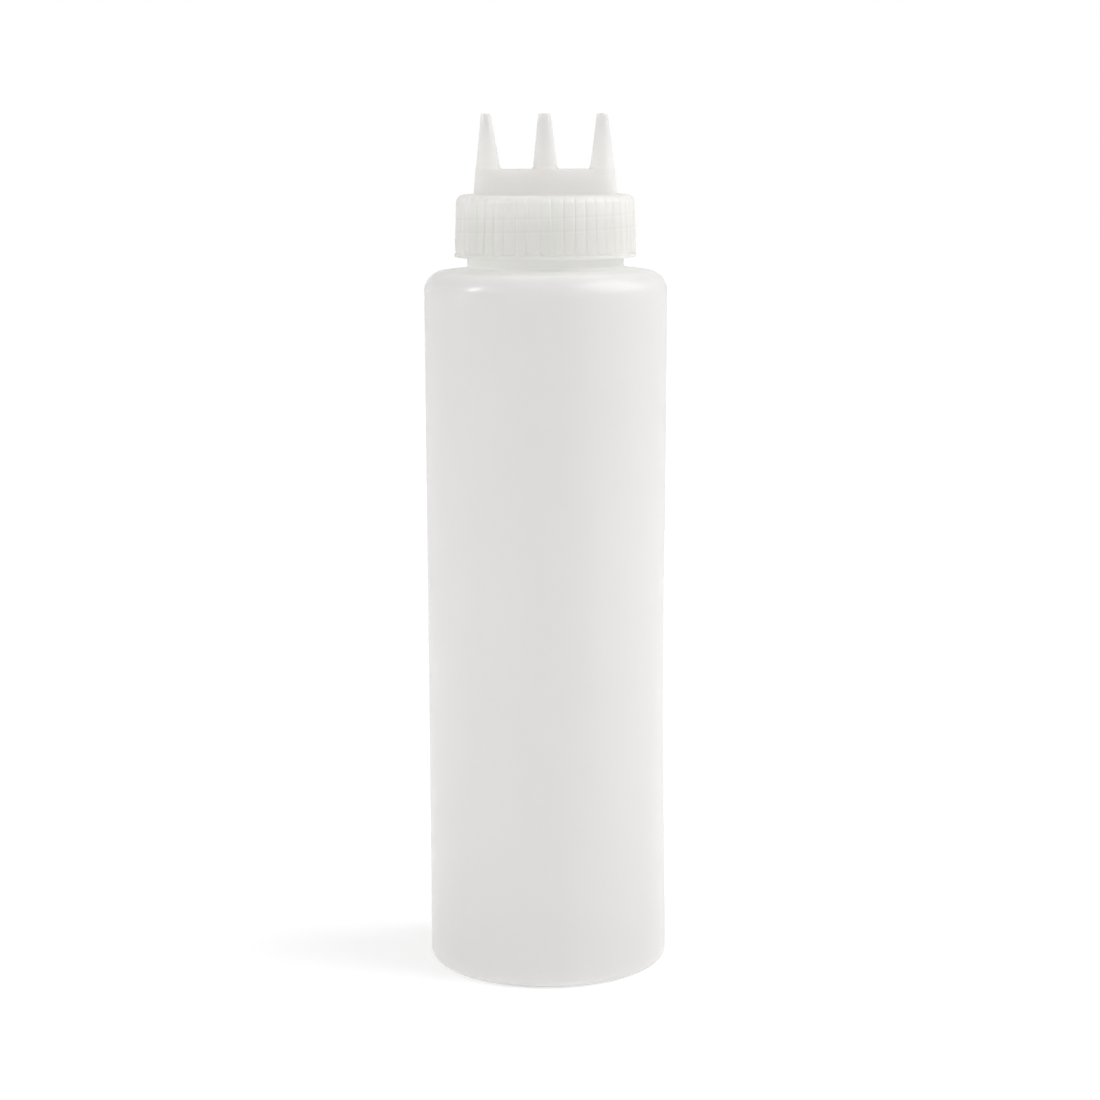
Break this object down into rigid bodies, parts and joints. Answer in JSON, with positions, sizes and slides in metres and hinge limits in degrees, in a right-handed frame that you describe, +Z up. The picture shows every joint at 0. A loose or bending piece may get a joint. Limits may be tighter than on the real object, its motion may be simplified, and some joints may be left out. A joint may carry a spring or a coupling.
{
  "type": "squeeze bottle",
  "caption": "Tall round translucent squeeze bottle with a ribbed screw cap that carries three cone nozzles in a row.",
  "frame": {"origin": "centre of the bottle's standing ring, on the surface it stands on", "axes": "+Z up along the bottle's axis, +X along the row of nozzles, +Y away from the viewer of the picture"},
  "size_m": [0.08, 0.08, 0.2838],
  "materials": {
    "bottle_ldpe": "translucent natural LDPE, satin, blow moulded",
    "cap_ldpe": "translucent natural LDPE, satin, injection moulded"
  },
  "bodies": {
    "bottle": {"bottle": "bottle_ldpe"},
    "cap": {"nozzle_cap": "cap_ldpe"}
  },
  "joints": [
    {"name": "cap_lift", "type": "slide", "parent": "bottle", "child": "cap", "axis": [0, 0, 1], "range_m": [0, 0.04]}
  ]
}
